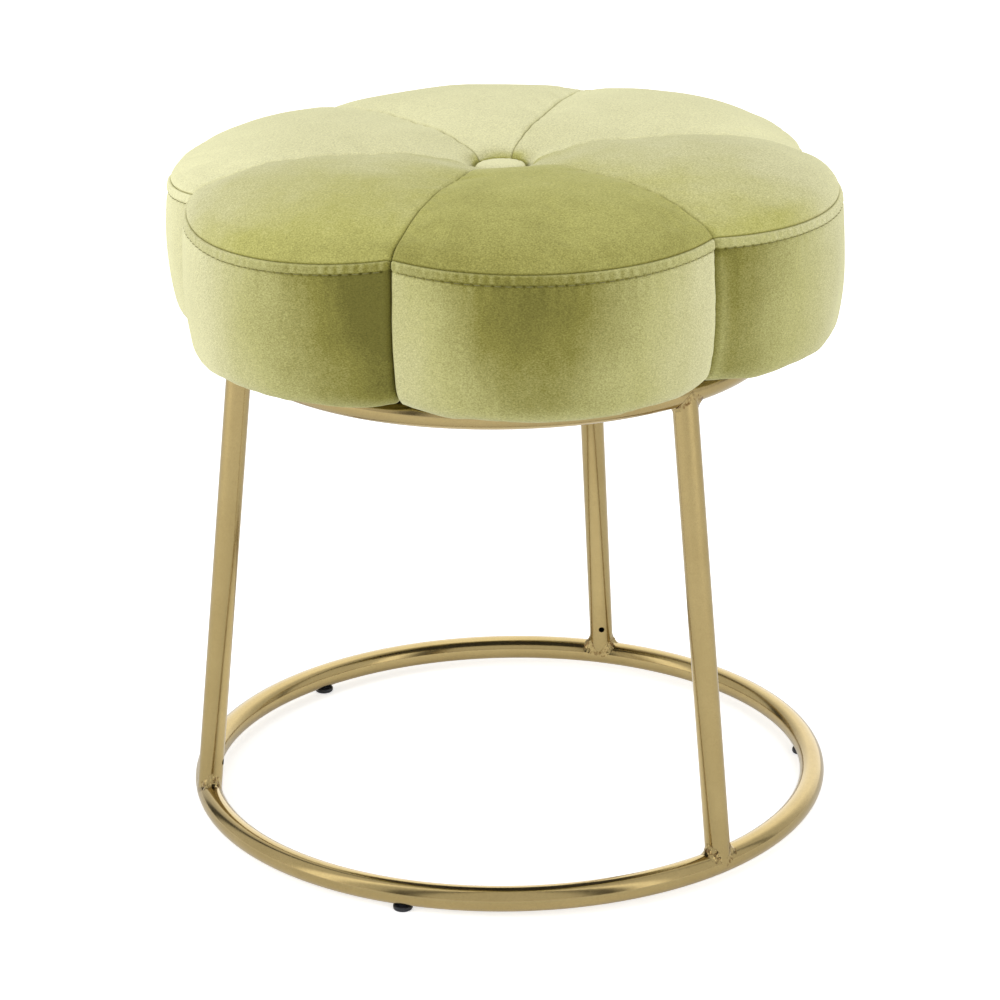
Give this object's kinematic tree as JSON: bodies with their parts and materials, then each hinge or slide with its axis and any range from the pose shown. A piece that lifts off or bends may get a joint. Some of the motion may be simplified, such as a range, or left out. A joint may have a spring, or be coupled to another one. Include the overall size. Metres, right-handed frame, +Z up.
{
  "type": "upholstered stool",
  "caption": "Low round vanity stool: flower-shaped velvet seat with a tufted button, on a frame of two tube rings joined by leaning legs.",
  "frame": {"origin": "on the floor, under the middle of the seat, at the lowest face of the feet", "axes": "+Z up through the button, +Y toward the back leg, +X to the right; one petal of the seat is centred on +X"},
  "size_m": [0.44, 0.4209, 0.4435],
  "materials": {
    "gold_metal": "satin champagne gold on steel tube",
    "velvet": "short-pile velvet, yellow green",
    "black_plastic": "semi-matte moulded",
    "zinc_steel": "bright zinc",
    "plywood": "raw plywood",
    "foam": "cut polyurethane foam",
    "black_cloth": "spunbonded dust cover cloth",
    "twine": "twisted polyester twine"
  },
  "bodies": {
    "root": {"base_ring": "gold_metal", "top_ring": "gold_metal", "leg_back": "gold_metal", "leg_left": "gold_metal", "leg_right": "gold_metal", "base_weld_back": "gold_metal", "base_weld_left": "gold_metal", "base_weld_right": "gold_metal", "top_weld_back": "gold_metal", "top_weld_left": "gold_metal", "top_weld_right": "gold_metal", "foot_right": "black_plastic", "foot_left": "black_plastic", "foot_front": "black_plastic", "mount_plate_right": "gold_metal", "mount_plate_left": "gold_metal", "mount_plate_front": "gold_metal", "plate_weld_right": "gold_metal", "plate_weld_left": "gold_metal", "plate_weld_front": "gold_metal", "seat_bolt_right": "zinc_steel", "seat_bolt_left": "zinc_steel", "seat_bolt_front": "zinc_steel", "seat_washer_right": "zinc_steel", "seat_washer_left": "zinc_steel", "seat_washer_front": "zinc_steel", "t_nut_right": "zinc_steel", "t_nut_left": "zinc_steel", "t_nut_front": "zinc_steel", "staple_a_1": "zinc_steel", "staple_a_2": "zinc_steel", "staple_a_3": "zinc_steel", "staple_a_4": "zinc_steel", "staple_a_5": "zinc_steel", "staple_a_6": "zinc_steel", "staple_b_1": "zinc_steel", "staple_b_2": "zinc_steel", "staple_b_3": "zinc_steel", "staple_b_4": "zinc_steel", "staple_b_5": "zinc_steel", "staple_b_6": "zinc_steel", "seat_board": "plywood", "dust_cover": "black_cloth", "foam_core": "foam", "petal_top_1": "velvet", "petal_top_2": "velvet", "petal_top_3": "velvet", "petal_top_4": "velvet", "petal_top_5": "velvet", "petal_top_6": "velvet", "petal_side_1": "velvet", "petal_side_2": "velvet", "petal_side_3": "velvet", "petal_side_4": "velvet", "petal_side_5": "velvet", "petal_side_6": "velvet", "button_cap": "velvet", "button_back": "zinc_steel", "tuft_cord": "twine", "tuft_anchor": "black_plastic"}
  },
  "joints": []
}
